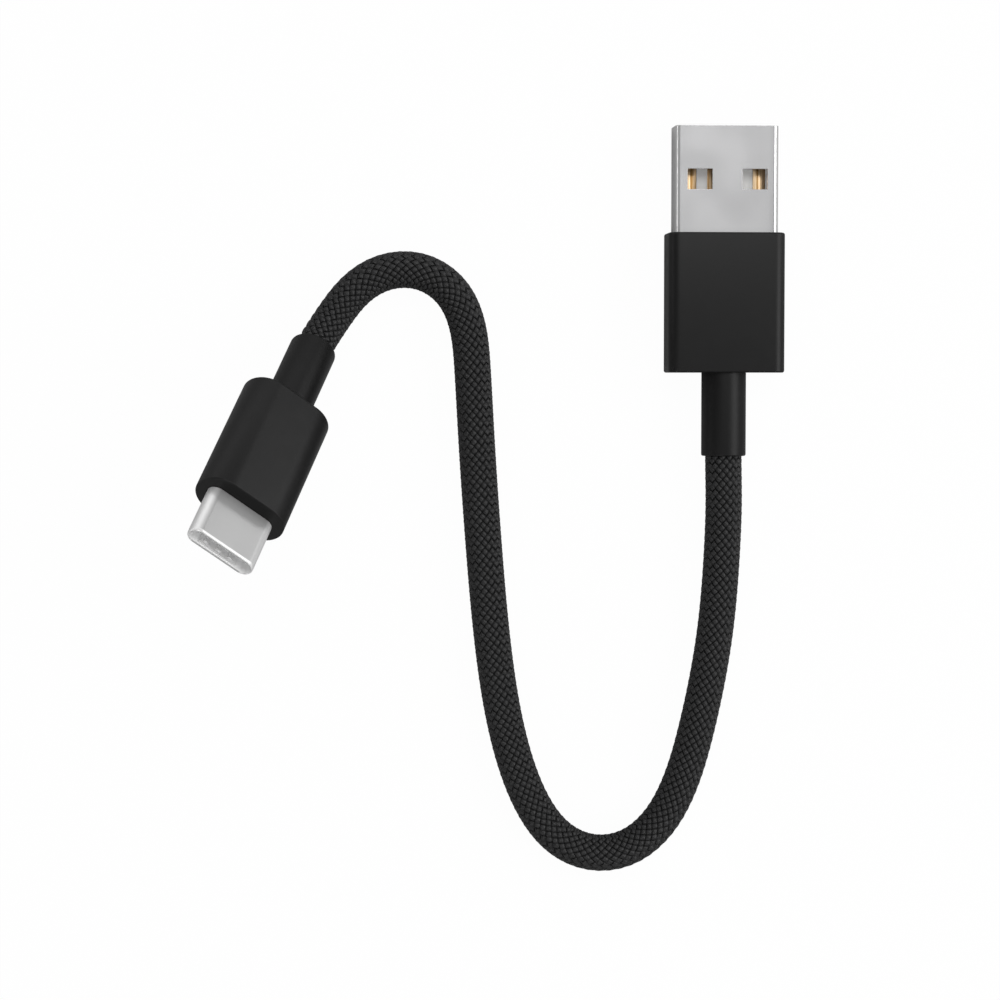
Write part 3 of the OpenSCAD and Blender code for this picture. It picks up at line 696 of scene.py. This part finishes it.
def a_shell():
    """Sheet steel folded to a box. Its grid runs round the outline and along the plug, with lines along the
    edges of the windows, whose cells are left out. A wall through the sheet closes every edge between a
    kept and an open cell. u, for the painted highlight, is how far the surface faces sideways."""
    centre, normal = a_shell_outline()
    ys = np.array([-A_SHELL_IN, 0.0, *A_WINDOW_Y, A_SHELL_OUT])
    walls = [centre + r * normal for r in (A_SHELL_R, A_SHELL_R - A_SHELL_WALL)]
    points = np.stack([np.stack([station(wall, y) for y in ys], 1) for wall in walls])
    number = np.arange(points[..., 0].size).reshape(points.shape[:3])
    window = between(centre[:, 0], A_WINDOW_X)[:, None] & between(ys, A_WINDOW_Y)[None, :]
    sheet = cells(*number.shape[1:])[~window.ravel()]
    quads = [sheet, sheet[:, ::-1] + number[1, 0, 0]]
    kept = np.pad(~window, 1).astype(int)
    edges_along = np.diff(kept, axis=0)[:, 1:-1]
    edges_round = np.diff(kept, axis=1)[1:-1]
    # the sign of an edge, open to kept or kept to open, says which way its wall has to face
    for edges, step_round, step_along, sign in ((edges_along, 0, 1, -1), (edges_round, 1, 0, 1)):
        i, j = np.nonzero(edges)
        first, second = number[:, i, j], number[:, i + step_round, j + step_along]
        wall = np.stack([first[0], second[0], second[1], first[1]], -1)
        quads.append(np.where((edges[i, j] == sign)[:, None], wall, wall[:, ::-1]))
    # painted highlight: u, the share of the brighter colour, is how far the sheet faces sideways
    painted_highlight = np.broadcast_to(np.abs(normal[None, :, None, 0]), number.shape)
    uv = np.stack([painted_highlight, np.zeros_like(painted_highlight)], -1)
    shell = piece("type_a_shell_folded", "type_a_shell", PLUG_A.at(points), np.concatenate(quads),
        "shell_steel", uv=uv)
    round_edges(shell, A_SHELL_EDGE)


def a_contacts(arch_steps=12, under_steps=4):
    """Four strips. Across a strip its top is a low arch, half of a flat ellipse. Along it, a narrow solder
    tail widens to the contact, and the top slopes down at the tip. Quads from side to side close the ends."""
    arch = np.radians(np.linspace(0, 180, arch_steps + 1))
    top = np.stack([np.cos(arch), A_CONTACT_TOP - A_CONTACT_CROWN * (1 - np.sin(arch))], -1)
    under = np.linspace((-1, A_CONTACT_TOP - A_CONTACT_T), (1, A_CONTACT_TOP - A_CONTACT_T), under_steps + 1)
    across, height = np.concatenate([top, under]).T
    columns = len(across)
    k = np.arange(columns // 2 - 1)
    start = np.stack([columns - 1 - k, columns - 2 - k, k + 1, k], -1)
    for name, (x, tip) in A_CONTACTS.items():
        rows = [(-A_SHELL_IN - A_TAIL_L, A_TAIL_W, 0), (-A_SHELL_IN - A_SHOULDER_L, A_TAIL_W, 0),
            (-A_SHELL_IN, A_CONTACT_W, 0), (tip - A_TIP_L, A_CONTACT_W, 0), (tip, A_CONTACT_W, A_TIP_SINK)]
        loops = [station(np.stack([x + w / 2 * across, np.minimum(height, A_CONTACT_TOP - sink)], -1), y)
            for y, w, sink in rows]
        end = start[:, ::-1] + (len(rows) - 1) * columns
        quads = np.concatenate([cells(len(rows), columns, wrap_columns=True), start, end])
        piece(f"type_a_contact_{name}_strip", f"type_a_contact_{name}", PLUG_A.at(np.stack(loops)), quads,
            "contact_gold", crease=50)


def a_housing():
    """Rounded box with round end edges, a pocket for the shell and can, and a hole for the strain relief."""
    def body(inset):
        return round_rect(A_BODY_W - 2 * inset, A_BODY_T - 2 * inset, A_BODY_R - inset)

    pocket = round_rect(A_SHELL_W + 2 * FIT, A_SHELL_T + 2 * FIT, A_SHELL_R)
    hole = circle(A_RELIEF_R + FIT)
    wall_y = END_WALL - A_BODY_L
    loops = [station(pocket, wall_y), station(pocket, 0)]
    loops += rounding(body, -A_BODY_EDGE, 0)[::-1] + rounding(body, A_BODY_EDGE - A_BODY_L, -A_BODY_L)
    loops += [station(hole, -A_BODY_L), station(hole, wall_y)]
    ring_body("type_a_housing_moulded", "type_a_housing", PLUG_A, loops, "housing_plastic")


def strain_relief(name, node, plug, r, body_l, relief_l, pocket_w, plate_t):
    """A sleeve with a round outer end, and inside the housing a plate that holds it. The plate's outline is
    the further of a circle and a rectangle, seen from the middle."""
    angle = np.linspace(0, 2 * np.pi, RELIEF_SIDES, endpoint=False)
    direction = np.stack([np.cos(angle), np.sin(angle)], -1)
    half = (pocket_w / 2 - LUG_SIDE, plate_t / 2)
    reach = np.min(half / np.maximum(np.abs(direction), 1e-6), axis=1)
    plate = np.maximum(reach, r)[:, None] * direction
    bore = (CORD_R + FIT) * direction

    def sleeve(inset):
        return (r - inset) * direction

    end_y = -(body_l + relief_l)
    plate_front = END_WALL - body_l + LUG_T
    plate_back = plate_front - LUG_T + FIT
    loops = [station(bore, plate_front), station(plate, plate_front), station(plate, plate_back)]
    loops += [station(sleeve(0), plate_back), station(sleeve(0), -body_l)]
    loops += rounding(sleeve, end_y + RELIEF_EDGE, end_y) + [station(bore, end_y)]
    ring_body(name, node, plug, loops, "relief_rubber")


def type_a_plug():
    a_shell()
    a_contacts()
    a_housing()
    strain_relief("type_a_strain_relief_sleeve", "type_a_strain_relief", PLUG_A,
        A_RELIEF_R, A_BODY_L, A_RELIEF_L, A_SHELL_W, A_SHELL_T)


# ---------------------------------------------------------------------------------------------
# Type C plug
# ---------------------------------------------------------------------------------------------

def c_shell():
    """Drawn oval tube. Its mouth has a round rim, a half turn from the outer wall to the inner one: a long
    quarter ellipse outside and a short one inside. u, for the painted highlight, is how far the round ends
    face sideways, and 1 on the part of the rim that gets it. v is 1 inside, for the painted light there."""
    def outline(inset):
        return oval(C_SHELL_W - 2 * inset, C_SHELL_T - 2 * inset)

    turn = np.linspace(0, 180, C_RIM_STEPS + 1)
    inset = C_SHELL_WALL / 2 * (1 - np.cos(np.radians(turn)))
    back = np.where(turn < 90, C_RIM_OUTSIDE, C_RIM_INSIDE) * (1 - np.sin(np.radians(turn)))
    loops = [station(outline(0), -C_SHELL_IN)]
    loops += [station(outline(inward), C_SHELL_OUT - y) for inward, y in zip(inset, back)]
    loops += [station(outline(C_SHELL_WALL), -C_SHELL_IN)]
    end_r = C_SHELL_T / 2
    x, z = outline(0).T
    facing = np.sqrt(np.clip(1 - (z / end_r) ** 2, 0, 1))
    # painted highlight on the round ends and on part of the rim
    painted_highlight = np.where(np.abs(x) > C_SHELL_W / 2 - end_r, facing, 0)
    highlight_from, highlight_to = C_RIM_PAINTED_HIGHLIGHT
    rim = np.array([0, *((turn > highlight_from) & (turn < highlight_to)), 0])
    # v marks the inside, which painted light makes paler
    inside = np.array([0, *(turn == 180), 1])
    ring_body("type_c_shell_drawn", "type_c_shell", PLUG_C, loops, "shell_satin",
        u=np.maximum(painted_highlight, rim[:, None]), v=inside[:, None])


def c_housing():
    """Oval body: a crisp front edge, a round rear edge, a mouth for the shell, a pocket for the can. v is 1
    on the front face, which gets painted shade."""
    def body(inset):
        return oval(C_BODY_W - 2 * inset, C_BODY_T - 2 * inset)

    mouth = oval(C_SHELL_W + 2 * FIT, C_SHELL_T + 2 * FIT)
    pocket = oval(C_CAN_W + 2 * FIT, C_CAN_T + 2 * FIT)
    hole = circle(C_RELIEF_R + FIT, steps=16)
    wall_y = END_WALL - C_BODY_L
    loops = [station(hole, wall_y), station(pocket, wall_y), station(pocket, -C_SHELL_IN)]
    loops += [station(mouth, -C_SHELL_IN), station(mouth, 0)]
    loops += rounding(body, -C_FRONT_EDGE, 0)[::-1]
    loops += rounding(body, C_REAR_EDGE - C_BODY_L, -C_BODY_L, steps=6) + [station(hole, -C_BODY_L)]
    # the front face's stations, where the housing gets painted shade
    front_face_shade = np.array([loop[0, 1] == 0 for loop in loops])
    ring_body("type_c_housing_moulded", "type_c_housing", PLUG_C, loops, "housing_plastic",
        v=front_face_shade[:, None])


def type_c_plug():
    c_shell()
    c_housing()
    strain_relief("type_c_strain_relief_sleeve", "type_c_strain_relief", PLUG_C,
        C_RELIEF_R, C_BODY_L, C_RELIEF_L, C_CAN_W, C_CAN_T - C_PLATE_LESS)


# ---------------------------------------------------------------------------------------------
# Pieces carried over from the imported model, floor and lights
# ---------------------------------------------------------------------------------------------

def dress_carried_pieces():
    """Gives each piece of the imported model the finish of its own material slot."""
    for part in frame["record"]["subparts"]:
        mesh = frame["nodes"][part["node"]].data
        mesh.materials.clear()
        mesh.materials.append(FINISHES[part["material_slot"]])


def floor():
    """A large grey disc that takes the cable's shadow. To the camera it is nearly all white glow, and so it
    is in gloss that mirrors its outer part."""
    angle = np.linspace(0, 2 * np.pi, FLOOR_SIDES, endpoint=False)
    edge = np.stack([np.cos(angle), np.sin(angle), np.zeros(FLOOR_SIDES)], -1)
    points = np.concatenate([edge * FLOOR_HOLE_R, edge * FLOOR_R]) * MM
    mesh = bpy.data.meshes.new("floor")
    mesh.from_pydata(points.tolist(), [], cells(2, FLOOR_SIDES, wrap_columns=True)[:, ::-1].tolist())
    f = Finish("floor_white", grey(FLOOR_GREY), 0.9, IOR=1.0)
    ray = f.node("ShaderNodeLightPath").outputs
    straight = Value(f, ray["Is Camera Ray"])
    gloss = Value(f, ray["Is Glossy Ray"]) + Value(f, ray["Is Transmission Ray"])
    glow = f.node("ShaderNodeEmission", None, {"Color": grey(1.0), "Strength": FLOOR_GLOW})
    spot = tuple(np.array(GLOW_ROUND) * MM)
    away = f.node("ShaderNodeVectorMath", {"operation": "DISTANCE"}, {0: f.place(), 1: spot})
    begins, full = GLOW_FROM
    outer = f.steep(Value(f, away.outputs["Value"]), begins * MM, full * MM)
    share = straight * GLOW_SEEN + gloss * outer * GLOW_IN_GLOSS
    mix = f.node("ShaderNodeMixShader", None, {0: share.at_most(1.0)})
    f.tree.links.new(f.shader.outputs[0], mix.inputs[1])
    f.tree.links.new(glow.outputs[0], mix.inputs[2])
    f.tree.links.new(mix.outputs[0], f.tree.nodes["Material Output"].inputs["Surface"])
    mesh.materials.append(f.material)
    obj = bpy.data.objects.new("floor", mesh)
    bpy.context.scene.collection.objects.link(obj)


def softbox(name, at, size, radiance):
    """A soft light that faces MIDDLE. Its first side lies level. Radiance 1 looks as bright as a white
    surface in plain light."""
    data = bpy.data.lights.new(name, "AREA")
    data.shape = "RECTANGLE"
    data.size, data.size_y = size[0] * MM, size[1] * MM
    data.energy = radiance * pi * data.size * data.size_y
    obj = bpy.data.objects.new(name, data)
    back = Vector(at) - Vector(MIDDLE)
    obj.location = Vector(at) * MM
    obj.rotation_euler = back.to_track_quat("Z", "Y").to_euler()
    bpy.context.scene.collection.objects.link(obj)


def studio():
    """A dim grey room with soft boxes all round the cable."""
    world = bpy.data.worlds.new("studio")
    bpy.context.scene.world = world
    world.use_nodes = True
    background = world.node_tree.nodes["Background"]
    background.inputs["Color"].default_value = (1, 1, 1, 1)
    background.inputs["Strength"].default_value = ROOM_GREY
    for name, (at, size, radiance) in LAMPS.items():
        softbox(name, at, size, radiance)
    bpy.context.scene.view_settings.view_transform = "Standard"


camera()
cord()
dress_carried_pieces()
type_a_plug()
type_c_plug()
floor()
studio()
